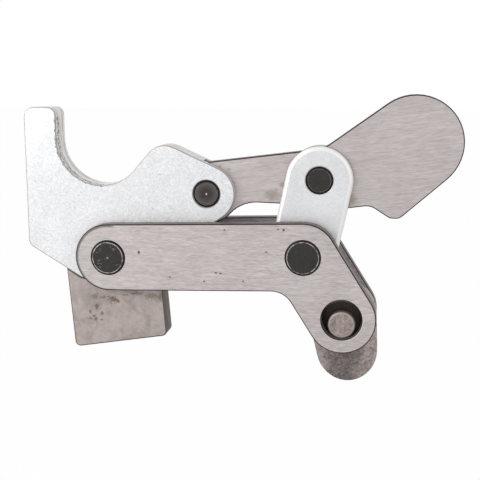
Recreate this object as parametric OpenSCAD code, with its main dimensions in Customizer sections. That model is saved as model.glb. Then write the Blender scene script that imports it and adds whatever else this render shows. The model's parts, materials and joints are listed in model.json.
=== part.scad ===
// Hold-down clamp: a weld-on toggle clamp made of flat plates.
// A hook of two cheeks and a core carries a weld block and two fixed pins. A pair of dog-leg
// side plates swings on the main pin, and a lever and a pair of links push it down.
// X runs along the clamp, Z is up and the plates lie in XZ planes, mirrored about Y = 0.
// The origin is the middle of the weld block's sole.

/* [Plates] */
// Thickness of each side plate
side_t = 6; // [4:0.5:8]
// Thickness of each hook cheek and of each link plate
cheek_t = 3; // [2.5:0.5:5]
// Thickness of the weld block and the hook core, which sets the room for the lever
core_t = 6; // [5:0.5:12]

/* [Pivots] */
// Handle pin, across from the main pin
handle_x = 43.7; // [42:0.1:46]
// Handle pin, up from the main pin
handle_z = 28.7; // [27:0.1:31]
// Toggle pin, across from the handle pin
toggle_x = 49.5; // [47:0.1:52]
// Toggle pin, up from the handle pin
toggle_z = 6.8; // [5:0.1:9]
// Link pin, across from the main pin
link_x = 87; // [85:0.1:89]
// Link pin, up from the main pin
link_z = 2.6; // [1:0.1:4]
// Diameter of the main pin and the link pin
main_pin_d = 15; // [12:0.5:17]
// Diameter of the handle pin and the toggle pin
lever_pin_d = 12; // [9:0.5:13]
// Chamfer round each end of a pin
pin_chamfer = 0.8; // [0.5:0.1:2]
// How far the main pin and the link pin stand out of the side plates
pin_proud = 0.7; // [0.2:0.1:2]
// Radius of the centre mark in the ends of the two fixed pins
centre_mark = 0.8; // [0.4:0.1:1.2]

/* [Hook] */
// Height of the hook's post above the main pin
post_top = 66; // [62:0.5:72]
// Width of the post
post_w = 14.7; // [12:0.1:18]
// Radius of the notch
notch_r = 20.2; // [18:0.1:22]
// Notch centre, left of the main pin
notch_x = 4.2; // [3:0.1:6]
// Notch centre, above the main pin
notch_z = 51.8; // [50:0.1:54]
// Hump beside the notch, right of the main pin
hump_x = 25.2; // [24:0.1:28]
// Hump beside the notch, height of its centre above the main pin
hump_z = 39.8; // [38:0.1:44]
// Radius of the hump
hump_r = 10; // [6:0.1:11]
// Radius of the hook round the main pin
hook_root_r = 14; // [12:0.5:14.5]
// Radius of the hook round the handle pin
hook_eye_r = 12.5; // [11:0.1:13.5]
// Height above the main pin where the back edge turns into the slant
back_low = 3.8; // [1:0.1:7]
// Slant of the hook's lower back edge, in degrees
back_slant = 31; // [27:1:35]
// Rounding between the back edge and the slant
back_round = 4; // [2:0.5:6]
// Rounding of the post's outer corner
post_round = 4.5; // [2:0.5:6]
// Rounding of the post's inner corner
post_inner_round = 3.5; // [1:0.5:5]

/* [Arm] */
// Width of the side plates along the bar
arm_w = 30; // [28:0.5:33]
// Foot of the dog leg, across from the link pin
foot_x = 17.1; // [15:0.1:20]
// Foot of the dog leg, below the link pin
foot_drop = 27; // [24:0.1:29]
// Radius of the foot's round end
foot_r = 15; // [13.5:0.1:16]
// Radius of the fillet in the inner corner of the dog leg
leg_fillet = 10; // [6:0.5:14]
// Diameter of the large hole in the foot
foot_hole_d = 17.6; // [16:0.1:19]
// Wall of the spacer on the link pin
spacer_wall = 2.5; // [1.5:0.5:3]

/* [Link] */
// Width of the link plates
link_w = 29.2; // [27:0.1:30]
// How far the lower end of a link plate lies left of the link pin
link_shift = 0.7; // [0:0.1:1.5]
// Soft rounding round the outer face of a link plate
link_coin = 1.8; // [0.8:0.1:2.2]
// Clearance round the link pin, where the closed linkage is opened
open_play = 1.9; // [1:0.1:4]

/* [Lever] */
// Radius of the lever round the handle pin
lever_eye_r = 13.6; // [12:0.1:14]
// Height of the lever's top edge above the toggle pin
lever_neck_up = 13.4; // [12:0.1:15]
// Depth of the lever's lower edge below the toggle pin
lever_neck_down = 11.3; // [10:0.1:12]
// Bend of the lever's top edge, right of the toggle pin
bend_x = 1.1; // [0:0.1:5]
// Rounding of the bend in the lever's top edge
bend_round = 14; // [8:1:20]
// Radius of the fillet under the lever's eye
under_fillet = 16; // [12:0.5:18]
// Rise of the lever's lower edge from the toggle pin back to that fillet
under_rise = 0.7; // [0:0.1:1.5]
// Rounding of the waist before the tip
waist_round = 7; // [4:0.5:9]
// Radius of the paddle
paddle_r = 20.5; // [17:0.5:23]
// Paddle centre, across from the toggle pin
paddle_x = 40.1; // [37:0.1:46]
// Paddle centre, above the toggle pin
paddle_z = 16.2; // [14:0.1:20]
// Left end of the blunt tip under the paddle, across from the toggle pin
tip_x = 30.3; // [28:0.1:33]
// Blunt tip under the paddle, below the toggle pin
tip_drop = 16.3; // [14:0.1:18]
// Width of the blunt tip
tip_w = 4.2; // [3:0.1:6]
// Waist that can land on the link pin's spacer, left of the tip
waist_x = 8.5; // [7:0.1:10]
// Waist, above the tip
waist_z = 5.4; // [4:0.1:7]
// Where the lower edge passes behind the links, left of the tip
behind_x = 18.3; // [16:0.1:21]
// Lower edge behind the links, above the tip
behind_z = 4; // [3:0.1:6]
// Rounding of the tip
tip_round = 3.5; // [2:0.1:5]
// Wall of the two bushes pressed into the lever
bush_wall = 2; // [1:0.1:2.5]

/* [Weld block] */
// Width of the weld block along its sole
block_w = 44.2; // [38:0.1:46]
// Thickness of the weld block below its tongue
block_t = 10.5; // [8:0.5:13]
// Depth of the sole's middle below the main pin
block_drop = 40.6; // [36:0.1:46]
// Middle of the sole, right of the main pin
block_x = 3.1; // [1:0.1:5]
// Rise of the sole to the right, in degrees
sole_rise = 9.5; // [0:0.5:11]
// Lean of the block's two long edges, in degrees
block_lean = 4.8; // [2:0.1:6]
// Height of the tongue's flat shoulders above the main pin
shoulder_z = 3; // [0:0.5:6]
// Rounding of the block's corners
block_round = 2.5; // [1:0.1:4]

/* [Nose] */
// Radius of the nose's lower end
nose_r = 13.4; // [11:0.1:14]
// Lower end of the nose, right of the foot hole
nose_x = 2.3; // [1:0.1:5]
// Lower end of the nose, below the foot hole
nose_drop = 15.8; // [13:0.1:19]
// How much thinner the nose is at its flanks than in its middle, on each face
nose_crown = 2.6; // [0.5:0.1:4]
// Diameter of the raw pin through the nose
nose_pin_d = 11.8; // [11:0.1:13.5]
// How far the ends of the nose pin lie inside the side plates' outer faces
nose_pin_sunk = 1.5; // [1:0.1:4]
// Chamfer round each end of the nose pin
nose_pin_chamfer = 1; // [0.4:0.1:1.5]

/* [Fits] */
// Radial clearance of a turning pin
run_fit = 0.05; // [0.02:0.01:0.1]
// Radial gap of a pressed pin, bush or sleeve
press_fit = 0.02; // [0.01:0.01:0.03]
// Gap between plates that slide past each other
slide_gap = 0.1; // [0.05:0.05:0.3]
// Gap between the thick bar of the weld block and the edges of the cheeks
bar_gap = 0.3; // [0.2:0.1:0.6]
// Chamfer at the mouth of each pin hole
mouth = 0.4; // [0.2:0.1:0.6]

/* [Hidden] */

$fn = 96;
arc_step = 7.5;
eps = 0.01;

// Pivots in the plane of the plates, seen from the main pin
A = [0, 0];
D = [handle_x, handle_z];
E = D + [toggle_x, toggle_z];
B = [link_x, link_z];
C = B + [foot_x, -foot_drop];
H = [hump_x, hump_z];
N = [-notch_x, notch_z];
P = E + [paddle_x, paddle_z];
S = [block_x, -block_drop];

// Layers, as distances from the middle plane
core_y = core_t / 2;
cheek_y = core_y + cheek_t;
side_y = cheek_y + slide_gap;
outer_y = side_y + side_t;
lever_t = core_t - 2 * slide_gap;
link_t = cheek_t - slide_gap;

main_r = main_pin_d / 2;
lever_pin_r = lever_pin_d / 2;
arm_r = arm_w / 2;
link_r = link_w / 2;
spacer_r = main_r + spacer_wall;
lever_bush_r = lever_pin_r + bush_wall;
back_x = N[0] - notch_r - post_w;
core_clear = 1;
block_eye_r = hook_root_r - core_clear;
core_side = 200;
tube_chamfer = 0.5;
coin_steps = 4;
crown_steps = 8;

// The nose pin hangs on the lower side of the large hole, a hair above its wall
nose_pin_gap = 0.15;
nose_pin_r = nose_pin_d / 2;
F = C - [0, foot_hole_d / 2 - nose_pin_r - nose_pin_gap];
nose_end = C + [nose_x, -nose_drop];

steel = [0.74, 0.71, 0.70];
zinc = [0.88, 0.89, 0.91];
blackened = [0.22, 0.20, 0.20];
raw = [0.58, 0.55, 0.53];
dull = [0.42, 0.38, 0.37];
bronze = [0.66, 0.52, 0.30];

function dir(a) = [cos(a), sin(a)];
function heading(p, q) = atan2(q[1] - p[1], q[0] - p[0]);
function cross_z(u, v) = u[0] * v[1] - u[1] * v[0];

// Where the line through p at angle a meets the line through q at angle b
function meet(p, a, q, b) = p + dir(a) * cross_z(q - p, dir(b)) / cross_z(dir(a), dir(b));

// Angle at which the outer tangent touches two circles, left (side = 1) or right (side = -1) of p to q
function outer_angle(p, rp, q, rq, side) = heading(p, q) + side * acos((rp - rq) / norm(q - p));

// Angle at the first circle of a tangent that crosses between two circles
function inner_angle(p, rp, q, rq, side) = heading(p, q) + side * acos((rp + rq) / norm(q - p));

// Angle at which a line from p touches the circle round c
function touch_angle(p, c, r, side) = heading(c, p) + side * acos(r / norm(p - c));

// Points along an arc, from angle a to angle b
function arc(c, r, a, b) =
  let (n = ceil(abs(b - a) / arc_step))
  [for (k = [0 : n]) c + r * dir(a + (b - a) * k / n)];

// Points of the arc that rounds the corner b of the path a, b, c
function corner(a, b, c, r) =
  let (
    u = (a - b) / norm(a - b),
    v = (c - b) / norm(c - b),
    half = acos(u * v) / 2,
    centre = b + (u + v) / norm(u + v) * r / sin(half),
    from = heading(centre, b + u * r / tan(half)),
    turn = (heading(centre, b + v * r / tan(half)) - from + 540) % 360 - 180
  )
  arc(centre, r, from, from + turn);

// Outline of two discs and the straight band between them
function capsule(p, rp, q, rq) =
  let (left = outer_angle(p, rp, q, rq, 1), right = outer_angle(p, rp, q, rq, -1))
  concat(arc(p, rp, left, right + 360), arc(q, rq, right, left));

// Moves a shape drawn round the main pin to the row's own origin
module from_main_pin() {
  translate([-S[0], 0, -S[1]]) children();
}

// Stands a flat outline up as a plate between the depths y_near and y_far
module plate(y_near, y_far) {
  translate([0, y_far, 0]) rotate([90, 0, 0]) linear_extrude(y_far - y_near) children();
}

// Hole along Y through a plate, with a small chamfer at both mouths
module pin_hole(at, r, y_near, y_far) {
  translate([at[0], y_near, at[1]]) rotate([-90, 0, 0]) {
    translate([0, 0, -1]) cylinder(r = r, h = y_far - y_near + 2);
    translate([0, 0, -eps]) cylinder(r1 = r + mouth + eps, r2 = r, h = mouth + eps);
    translate([0, 0, y_far - y_near - mouth]) cylinder(r1 = r, r2 = r + mouth + eps, h = mouth + eps);
  }
}

// Round pin across the clamp, chamfered at both ends, with an optional centre mark in each end
module pin(at, r, half, chamfer, mark_r = 0) {
  mark_depth = mark_r;
  translate([at[0], 0, at[1]]) rotate([90, 0, 0]) rotate_extrude()
    polygon([
      [0, -half + mark_depth], [mark_r, -half], [r - chamfer, -half], [r, -half + chamfer],
      [r, half - chamfer], [r - chamfer, half], [mark_r, half], [0, half - mark_depth]
    ]);
}

// Tube across the clamp, chamfered outside at both ends
module tube(at, r_out, r_in, half) {
  turn = half - tube_chamfer;
  translate([at[0], 0, at[1]]) rotate([90, 0, 0]) rotate_extrude()
    polygon([
      [r_in, -half], [r_out - tube_chamfer, -half], [r_out, -turn],
      [r_out, turn], [r_out - tube_chamfer, half], [r_in, half]
    ]);
}

// Angle at which the hook's right edge leaves the arc round the main pin
hook_right = outer_angle(A, hook_root_r, D, hook_eye_r, -1);

// Upper edge of the hook, anticlockwise from the hump over the notch to the top of the back edge
function hook_upper_edge() =
  let (
    slope = outer_angle(H, hump_r, D, hook_eye_r, 1),
    neck = inner_angle(N, notch_r, H, hump_r, -1),
    inner_x = back_x + post_w
  )
  concat(
    arc(H, hump_r, slope, neck + 180),
    arc(N, notch_r, neck, -180),
    arc([inner_x - post_inner_round, post_top - post_inner_round], post_inner_round, 0, 90),
    arc([back_x + post_round, post_top - post_round], post_round, 90, 180)
  );

// Lower edge of the hook, moved outwards by grow: the end of the slant and the arc round the main pin
function hook_lower_edge(grow) =
  let (
    r = hook_root_r + grow,
    slant_start = [back_x, back_low] + grow * dir(-back_slant - 90),
    slant_end = meet(slant_start, -back_slant, A - [arm_r + grow, 0], 90)
  )
  concat([slant_end], arc(A, r, touch_angle(slant_end, A, r, 1), hook_right));

// Side view of the hook: post, notch, hump, eye for the handle pin and root round the main pin
function hook_outline() =
  let (lower = hook_lower_edge(0))
  concat(
    lower,
    arc(D, hook_eye_r, hook_right, outer_angle(H, hump_r, D, hook_eye_r, 1)),
    hook_upper_edge(),
    corner([back_x, post_top], [back_x, back_low], lower[0], back_round)
  );

module hook_cheek() {
  difference() {
    plate(-cheek_y, -core_y) polygon(hook_outline());
    pin_hole(A, main_r + press_fit, -cheek_y, -core_y);
    pin_hole(D, lever_pin_r + press_fit, -cheek_y, -core_y);
  }
}

module hook_cheek_front() {
  color(zinc) from_main_pin() hook_cheek();
}

module hook_cheek_rear() {
  color(zinc) from_main_pin() mirror([0, 1, 0]) hook_cheek();
}

// The core fills the hook round the notch and stays clear of the lever's eye and the weld block's eye
module hook_core() {
  clear_r = lever_eye_r + core_clear;
  low = block_eye_r + core_clear;
  slope = outer_angle(H, hump_r, D, hook_eye_r, 1);
  side_end = D + clear_r * dir(core_side);
  color(zinc) from_main_pin() plate(-core_y, core_y) polygon(concat(
    [[back_x, low], [side_end[0], low]],
    arc(D, clear_r, core_side, slope + acos(hook_eye_r / clear_r)),
    hook_upper_edge()
  ));
}

// Side view of the weld block: a sawn bar that leans back from its sole
module block_outline() {
  low_left = S - dir(sole_rise) * block_w / 2;
  low_right = S + dir(sole_rise) * block_w / 2;
  top_right = meet(low_right, 90 + block_lean, [0, shoulder_z], 0);
  top_left = meet(low_left, 90 + block_lean, [0, shoulder_z], 0);
  polygon(concat(
    corner(top_left, low_left, low_right, block_round),
    corner(low_left, low_right, top_right, block_round),
    corner(low_right, top_right, top_left, block_round),
    corner(top_right, top_left, low_left, block_round)
  ));
}

// The bar is thick below the cheeks, and a thinner tongue with the eye goes up between them
module weld_block() {
  color(raw) from_main_pin() {
    plate(-block_t / 2, block_t / 2) difference() {
      block_outline();
      polygon(concat(
        hook_lower_edge(bar_gap),
        [D + (hook_eye_r + bar_gap) * dir(hook_right), [back_x, handle_z], [back_x, back_low - bar_gap]]
      ));
    }
    difference() {
      plate(-core_y, core_y) {
        block_outline();
        circle(block_eye_r);
      }
      pin_hole(A, main_r + press_fit, -core_y, core_y);
    }
  }
}

module main_pin() {
  color(blackened) from_main_pin() pin(A, main_r, outer_y + pin_proud, pin_chamfer, centre_mark);
}

module handle_pin() {
  color(blackened) from_main_pin() pin(D, lever_pin_r, cheek_y, pin_chamfer, centre_mark);
}

// Side view of a side plate: bar from the main pin to the link pin, and the leg down to the foot
function arm_outline() =
  let (
    bar = heading(A, B),
    leg = outer_angle(B, arm_r, C, foot_r, -1),
    bar_low = A + (arm_r + leg_fillet) * dir(bar - 90),
    leg_low = C + (foot_r + leg_fillet) * dir(leg),
    inner = meet(bar_low, bar, leg_low, leg + 90),
    right = outer_angle(B, arm_r, C, foot_r, 1)
  )
  concat(
    arc(A, arm_r, bar + 90, bar + 270),
    arc(inner, leg_fillet, bar + 90, leg + 180),
    arc(C, foot_r, leg, right),
    arc(B, arm_r, right, bar + 90)
  );

module side_plate() {
  difference() {
    plate(-outer_y, -side_y) polygon(arm_outline());
    pin_hole(A, main_r + run_fit, -outer_y, -side_y);
    pin_hole(B, main_r + press_fit, -outer_y, -side_y);
    pin_hole(C, foot_hole_d / 2, -outer_y, -side_y);
  }
}

module side_plate_front() {
  color(steel) from_main_pin() side_plate();
}

module side_plate_rear() {
  color(steel) from_main_pin() mirror([0, 1, 0]) side_plate();
}

module link_pin() {
  color(blackened) from_main_pin() pin(B, main_r, outer_y + pin_proud, pin_chamfer);
}

module link_spacer() {
  color(raw) from_main_pin() tube(B, spacer_r, main_r + press_fit, core_y - slide_gap);
}

// Side view of the lever: eye, neck with a fillet under it, and the paddle with its tip
function lever_outline() =
  let (
    bend = E + [bend_x, lever_neck_up],
    under = E - [0, lever_neck_down],
    gap = lever_eye_r + under_fillet,
    drop = under[1] + under_rise - under_fillet - D[1],
    fillet = D + [sqrt(gap * gap - drop * drop), drop],
    tip = E + [tip_x, -tip_drop],
    tip_right = tip + [tip_w, 0],
    waist = tip + [-waist_x, waist_z],
    behind_link = tip + [-behind_x, behind_z],
    eye_top = touch_angle(bend, D, lever_eye_r, 1),
    paddle_top = touch_angle(bend, P, paddle_r, -1) + 360,
    paddle_low = touch_angle(tip_right, P, paddle_r, 1),
    neck_end = D + lever_eye_r * dir(eye_top),
    paddle_end = P + paddle_r * dir(paddle_low)
  )
  concat(
    arc(D, lever_eye_r, eye_top, heading(D, fillet) + 360),
    arc(fillet, under_fillet, heading(fillet, D), 90),
    [under, behind_link],
    corner(behind_link, waist, tip, waist_round),
    corner(waist, tip, tip_right, tip_round),
    corner(tip, tip_right, paddle_end, tip_round),
    arc(P, paddle_r, paddle_low, paddle_top),
    corner(P + paddle_r * dir(paddle_top), bend, neck_end, bend_round)
  );

module lever() {
  color(steel) from_main_pin() difference() {
    plate(-lever_t / 2, lever_t / 2) polygon(lever_outline());
    pin_hole(D, lever_bush_r + press_fit, -lever_t / 2, lever_t / 2);
    pin_hole(E, lever_bush_r + press_fit, -lever_t / 2, lever_t / 2);
  }
}

module lever_bush_handle() {
  color(bronze) from_main_pin() tube(D, lever_bush_r, lever_pin_r + run_fit, lever_t / 2);
}

module lever_bush_toggle() {
  color(bronze) from_main_pin() tube(E, lever_bush_r, lever_pin_r + press_fit, lever_t / 2);
}

module toggle_pin() {
  color(blackened) from_main_pin() pin(E, lever_pin_r, cheek_y, pin_chamfer);
}

// Section of a link plate from its middle line to its coined outer edge
function coined_edge() = [
  [link_r, 0],
  for (k = [0 : coin_steps])
    [link_r - link_coin, link_t - link_coin] + link_coin * dir(k * 90 / coin_steps)
];

// Link plate: round ends and straight sides with one softly coined edge, lying on its inner face
module coined_link(span) {
  edge = coined_edge();
  for (x = [0, span])
    translate([x, 0, 0]) rotate_extrude() polygon(concat([[0, 0]], edge, [[0, link_t]]));
  mirrored = [for (k = [len(edge) - 1 : -1 : 0]) [-edge[k][0], edge[k][1]]];
  rotate([90, 0, 90]) linear_extrude(span) polygon(concat(edge, mirrored));
}

module link_plate() {
  low_end = B - [link_shift, 0];
  difference() {
    translate([E[0], -core_y, E[1]]) rotate([90, 0, 0]) rotate([0, 0, heading(E, low_end)])
      coined_link(norm(low_end - E));
    pin_hole(E, lever_pin_r + run_fit, -core_y - link_t, -core_y);
    pin_hole(B, main_r + open_play, -core_y - link_t, -core_y);
  }
}

module link_plate_front() {
  color(zinc) from_main_pin() link_plate();
}

module link_plate_rear() {
  color(zinc) from_main_pin() mirror([0, 1, 0]) link_plate();
}

// Half thickness of the nose at a distance x from its middle line
function nose_flank(x) = cheek_y - nose_crown * pow(x / foot_r, 2);

// The nose hangs between the side plates; its faces are crowned from flank to flank
module nose() {
  lean = heading(C, nose_end) + 90;
  reach = foot_r + 1;
  step = reach / crown_steps;
  color(dull) from_main_pin() difference() {
    intersection() {
      plate(-cheek_y, cheek_y) polygon(capsule(C, foot_r, nose_end, nose_r));
      translate([C[0], 0, C[1]]) rotate([0, -lean, 0]) translate([0, 0, -3 * foot_r])
        linear_extrude(6 * foot_r) polygon(concat(
          [for (x = [-reach : step : reach]) [x, -nose_flank(x)]],
          [for (x = [reach : -step : -reach]) [x, nose_flank(x)]]
        ));
    }
    pin_hole(F, nose_pin_r + press_fit, -cheek_y, cheek_y);
  }
}

module nose_pin() {
  color(raw) from_main_pin() pin(F, nose_pin_r, outer_y - nose_pin_sunk, nose_pin_chamfer);
}

hook_cheek_front();
hook_cheek_rear();
hook_core();
weld_block();
main_pin();
handle_pin();
side_plate_front();
side_plate_rear();
link_pin();
link_spacer();
lever();
lever_bush_handle();
lever_bush_toggle();
toggle_pin();
link_plate_front();
link_plate_rear();
nose();
nose_pin();
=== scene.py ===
"""Looks for a weld-on hold-down clamp: rounded plates, turned pins and their worked steel surfaces."""

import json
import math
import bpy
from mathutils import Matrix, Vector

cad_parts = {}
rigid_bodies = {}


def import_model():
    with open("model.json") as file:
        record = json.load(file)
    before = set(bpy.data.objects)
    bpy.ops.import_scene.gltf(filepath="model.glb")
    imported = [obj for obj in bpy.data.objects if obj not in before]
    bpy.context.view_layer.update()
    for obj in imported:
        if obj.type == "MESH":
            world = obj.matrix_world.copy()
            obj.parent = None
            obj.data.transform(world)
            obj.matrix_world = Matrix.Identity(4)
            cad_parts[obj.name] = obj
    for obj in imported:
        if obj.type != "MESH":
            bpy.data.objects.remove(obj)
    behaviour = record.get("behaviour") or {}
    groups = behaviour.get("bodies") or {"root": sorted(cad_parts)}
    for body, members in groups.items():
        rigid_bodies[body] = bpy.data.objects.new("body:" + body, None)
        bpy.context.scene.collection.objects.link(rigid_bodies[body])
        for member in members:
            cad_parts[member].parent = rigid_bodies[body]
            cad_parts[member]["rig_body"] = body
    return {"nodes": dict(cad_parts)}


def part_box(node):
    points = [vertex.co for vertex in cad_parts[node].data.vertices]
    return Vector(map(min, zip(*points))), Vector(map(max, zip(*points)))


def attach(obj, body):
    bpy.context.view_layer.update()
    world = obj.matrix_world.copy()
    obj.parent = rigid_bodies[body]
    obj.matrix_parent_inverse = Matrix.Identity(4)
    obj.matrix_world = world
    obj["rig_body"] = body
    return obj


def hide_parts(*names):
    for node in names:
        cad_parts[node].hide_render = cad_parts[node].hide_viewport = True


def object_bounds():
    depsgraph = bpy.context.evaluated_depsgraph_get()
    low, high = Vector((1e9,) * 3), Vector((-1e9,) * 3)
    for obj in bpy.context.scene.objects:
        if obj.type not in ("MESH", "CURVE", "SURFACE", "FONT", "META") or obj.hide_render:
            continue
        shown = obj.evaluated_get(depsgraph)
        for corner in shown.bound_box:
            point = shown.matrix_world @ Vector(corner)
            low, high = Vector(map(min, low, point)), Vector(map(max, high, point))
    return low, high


bl_info = {
    "name": "Hold-down clamp",
    "version": (1, 0, 0),
    "blender": (4, 5, 0),
    "location": "3D View > Sidebar > Clamp",
    "description": "Dresses the CAD plates, pins and nose of a hold-down clamp",
    "category": "Object",
}

import bmesh
import bpy
from mathutils import Vector

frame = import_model()
CAD_LOW, CAD_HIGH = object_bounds()
MM = 0.001

# Places on the CAD plates that the finishes follow, in metres along the clamp and up
NOTCH_CENTRE = (-7.3 * MM, 92.4 * MM)
NOTCH_RADIUS = 20.2 * MM
FOOT_HOLE_CENTRE = (101.0 * MM, 16.2 * MM)
FOOT_HOLE_RADIUS = 8.8 * MM

# How far the dirt at the notch reaches onto the face
DIRT_WIDTH = 1.0 * MM

# Width of a pin's land or centre mark that isn't meant to be seen
HAIR = 0.042 * MM

# Rise of a pin's land and depth of its centre mark, as shares of their widths
LAND_RISE = 0.2
MARK_DEPTH = 0.6

# Tags of a turned pin's bands: end face, barrel with its chamfers, and bright land or centre mark
END_FACE = 0.0
BARREL = 0.5
LAND_AND_MARK = 1.0

# Largest angles in degrees that are shaded smooth, and distance at which vertices are joined
PLATE_SMOOTH = 40
PIN_SMOOTH = 25
WELD_DISTANCE = 0.001 * MM

# Normals along y of a face that is shaded flat, of a plate's flat face, and at most of a cut wall
SHADED_FLAT = 0.9999
FLAT_FACE = 0.999
CUT_WALL = 0.05

# Share of the widest outline's width that makes an outline an outer one, and shape of a rounded rim
OUTER_SHARE = 0.9
RIM_PROFILE = 0.6

# Range in which most values of a cloud pattern lie
PATTERN_LOW = 0.3
PATTERN_HIGH = 0.7

# Further colours of the finishes: cut walls, wear and dirt; also painted shade on rims, link walls, the
# plates' round end and the nose in its hole, and painted highlights on link rims, the foot hole's lip and pin
# lands
GROUND_WALL = (0.23, 0.20, 0.195, 1)
# Painted shade: the ground plates' rounded rims coloured near black
GROUND_RIM_SHADE = (0.022, 0.019, 0.018, 1)
# Painted shade: a grey crescent round the rounded end of the side plates
GROUND_END_SHADE = (0.22, 0.205, 0.195, 1)
# Painted highlight: a near-white glint on the lower right lip of the foot hole
GROUND_LIP_HIGHLIGHT = (0.92, 0.90, 0.89, 1)
GROUND_SMUDGE = (0.24, 0.20, 0.135, 1)
GROUND_NICK = (0.05, 0.04, 0.04, 1)
HOOK_WALL = (0.88, 0.87, 0.85, 1)
# Painted shade: the hook cheeks' rounded rims coloured grey
HOOK_RIM_SHADE = (0.38, 0.375, 0.37, 1)
# Painted light on the links: grey walls as painted shade outlining them, near-white rims as a painted
# highlight
LINK_WALL_SHADE = (0.30, 0.29, 0.275, 1)
LINK_RIM_HIGHLIGHT = (0.97, 0.965, 0.945, 1)
ZINC_STAIN = (0.78, 0.765, 0.68, 1)
ZINC_NICK = (0.30, 0.29, 0.28, 1)
NOTCH_FLECK = (0.075, 0.052, 0.038, 1)
NOTCH_EDGE = (0.08, 0.065, 0.05, 1)
SAWN_WALL = (0.11, 0.09, 0.082, 1)
# Painted shade: the block's rounded rim coloured dark
SAWN_RIM_SHADE = (0.13, 0.11, 0.10, 1)
SAWN_SMUDGE = (0.13, 0.10, 0.065, 1)
SAWN_HAIR = (0.06, 0.05, 0.045, 1)
RAW_PIN_RIM = (0.47, 0.42, 0.39, 1)
PIN_SCUFF = (0.24, 0.22, 0.21, 1)
PIN_RUBBED = (0.12, 0.105, 0.10, 1)
PIN_CHAMFER = (0.018, 0.016, 0.016, 1)
LAND_DARK = (0.10, 0.09, 0.088, 1)
# The pins' bright land and centre mark: edge wear with a painted highlight
LAND_WEAR_AND_HIGHLIGHT = (0.60, 0.56, 0.54, 1)
NOSE_BROWN = (0.06, 0.04, 0.03, 1)
NOSE_FLECK = (0.62, 0.55, 0.40, 1)
# Painted shadow: near black on the nose round its pin, inside the foot hole
NOSE_HOLE_SHADE = (0.028, 0.02, 0.016, 1)

# Sides and places of the lamps, from the middle of the clamp, and reach of the floor, in metres
KEY_SIZE = 0.24
KEY_PLACE = Vector((-0.26, -0.2, 0.15))
FILL_SIZE = 0.6
FILL_PLACE = Vector((0.6, -0.5, 0.25))
FLOOR_REACH = 4.0
FLOOR_GREY = (0.9, 0.9, 0.9, 1)

# Share of glow in what is seen of the floor, and strength of the world where it only lights
FLOOR_GLOW = 0.98
WORLD_LIGHT = 0.5


def centre_of(node):
    """Middle of a CAD node's box."""
    low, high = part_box(node)
    return (low + high) / 2


class ClampPlateSizes(bpy.types.PropertyGroup):
    """Sizes of the rounded rims that the plates get."""

    ground_rim: bpy.props.FloatProperty(
        name="Ground rim",
        description="Width of the rounded rim of the ground side plates and the lever",
        default=0.5 * MM,
        unit="LENGTH",
    )
    zinc_rim: bpy.props.FloatProperty(
        name="Zinc rim",
        description="Width of the rounded rim of the hook's cheeks",
        default=0.45 * MM,
        unit="LENGTH",
    )
    block_rim: bpy.props.FloatProperty(
        name="Block rim",
        description="Width of the rounded rim of the weld block",
        default=0.6 * MM,
        unit="LENGTH",
    )
    rim_steps: bpy.props.IntProperty(
        name="Rim steps",
        description="Faces across a rounded rim",
        default=3,
        min=1,
        max=6,
    )


class ClampPinSizes(bpy.types.PropertyGroup):
    """Sizes of the turned ends of the pins."""

    # The bright land is edge wear with a painted highlight laid on it
    land: bpy.props.FloatProperty(
        name="Bright land",
        description="Width of the worn bright ring round a pin's end face",
        default=0.28 * MM,
        unit="LENGTH",
    )
    chamfer: bpy.props.FloatProperty(
        name="Chamfer",
        description="Width of the chamfer round the end of an arm pin",
        default=0.5 * MM,
        unit="LENGTH",
    )
    lever_chamfer: bpy.props.FloatProperty(
        name="Lever chamfer",
        description="Width of the chamfer round the end of a lever pin",
        default=1.0 * MM,
        unit="LENGTH",
    )
    mark: bpy.props.FloatProperty(
        name="Centre mark",
        description="Radius of the lathe's centre mark",
        default=0.42 * MM,
        unit="LENGTH",
    )
    sides: bpy.props.IntProperty(
        name="Sides",
        description="Faces round a pin",
        default=96,
        min=24,
        max=192,
    )


class ClampColours(bpy.types.PropertyGroup):
    """Colours of the clamp's finishes."""

    ground_steel: bpy.props.FloatVectorProperty(
        name="Ground steel",
        description="Colour of the side plates and the lever",
        subtype="COLOR",
        size=4,
        default=(0.545, 0.488, 0.488, 1),
    )
    zinc: bpy.props.FloatVectorProperty(
        name="Zinc",
        description="Colour of the plated hook and links",
        subtype="COLOR",
        size=4,
        default=(0.84, 0.845, 0.86, 1),
    )
    sawn_steel: bpy.props.FloatVectorProperty(
        name="Sawn steel",
        description="Colour of the raw weld block and the spacer",
        subtype="COLOR",
        size=4,
        default=(0.42, 0.365, 0.345, 1),
    )
    blackened: bpy.props.FloatVectorProperty(
        name="Blackened steel",
        description="Colour of the hardened pins",
        subtype="COLOR",
        size=4,
        default=(0.024, 0.02, 0.02, 1),
    )
    raw_pin: bpy.props.FloatVectorProperty(
        name="Raw pin",
        description="Colour of the nose pin",
        subtype="COLOR",
        size=4,
        default=(0.35, 0.287, 0.265, 1),
    )
    nose_steel: bpy.props.FloatVectorProperty(
        name="Nose steel",
        description="Colour of the rough nose",
        subtype="COLOR",
        size=4,
        default=(0.235, 0.20, 0.19, 1),
    )
    rust: bpy.props.FloatVectorProperty(
        name="Rust",
        description="Colour of the small rust spots",
        subtype="COLOR",
        size=4,
        default=(0.15, 0.095, 0.06, 1),
    )
    bronze: bpy.props.FloatVectorProperty(
        name="Bronze",
        description="Colour of the lever's bushes",
        subtype="COLOR",
        size=4,
        default=(0.62, 0.43, 0.20, 1),
    )


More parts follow.
